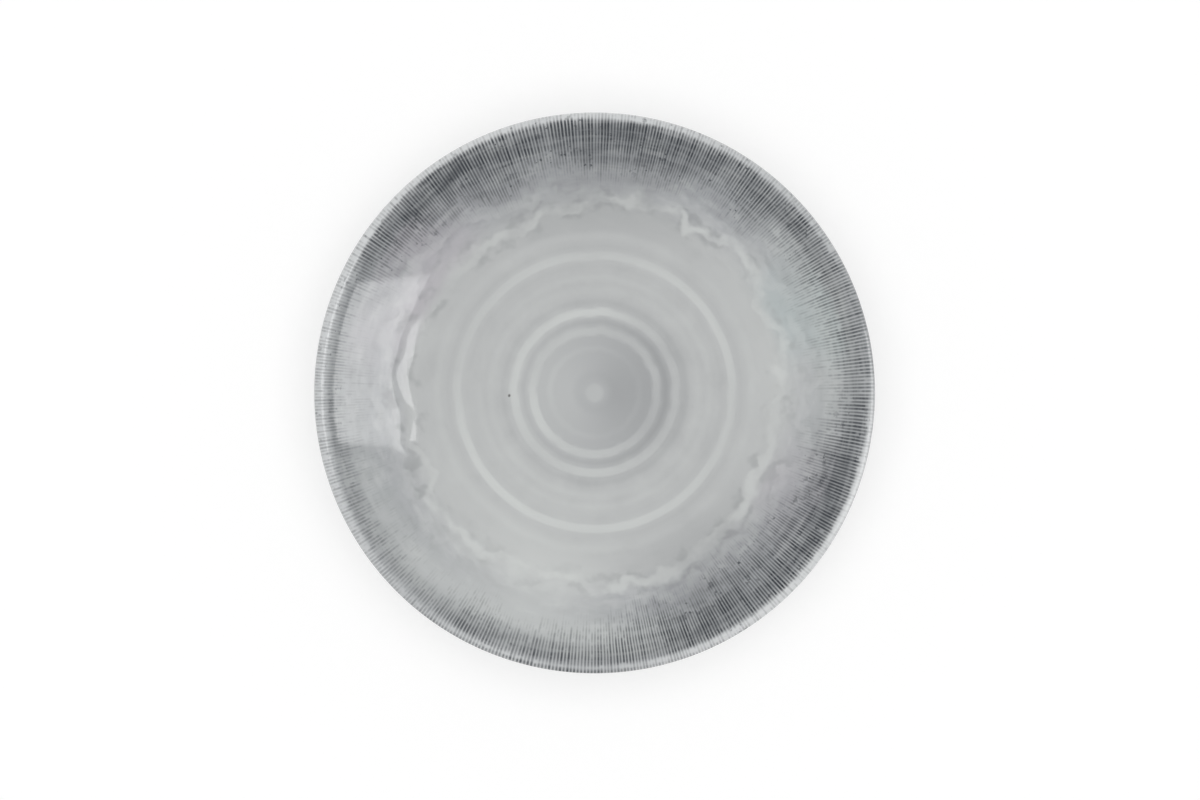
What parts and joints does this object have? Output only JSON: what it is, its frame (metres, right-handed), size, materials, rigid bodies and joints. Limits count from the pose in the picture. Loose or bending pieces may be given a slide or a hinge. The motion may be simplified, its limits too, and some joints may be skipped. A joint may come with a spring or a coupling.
{
  "type": "deep plate",
  "caption": "Round deep coupe plate in glazed stoneware, with an open well, a rolled lip, thrown rings on the floor and a bare foot ring that it stands on; it holds soup, pasta or salad.",
  "frame": {"origin": "on the plate's axis, on the plane that the foot ring stands on", "axes": "+Z along the plate's axis, up out of the well; the plate is round, so X and Y are free"},
  "size_m": [0.2548, 0.2548, 0.0379],
  "materials": {
    "clay": "bare fired stoneware, dry and slightly gritty, pale buff grey with fine dark specks",
    "face_glaze": "glossy pale grey glaze with fine dark radial streaks below the lip, breaking pale over the lip",
    "outside_glaze": "plain glossy pale grey glaze",
    "recess_glaze": "plain glossy pale grey glaze"
  },
  "bodies": {
    "root": {"clay_body": "clay", "face_glaze": "face_glaze", "outside_glaze": "outside_glaze", "recess_glaze": "recess_glaze"}
  },
  "joints": []
}
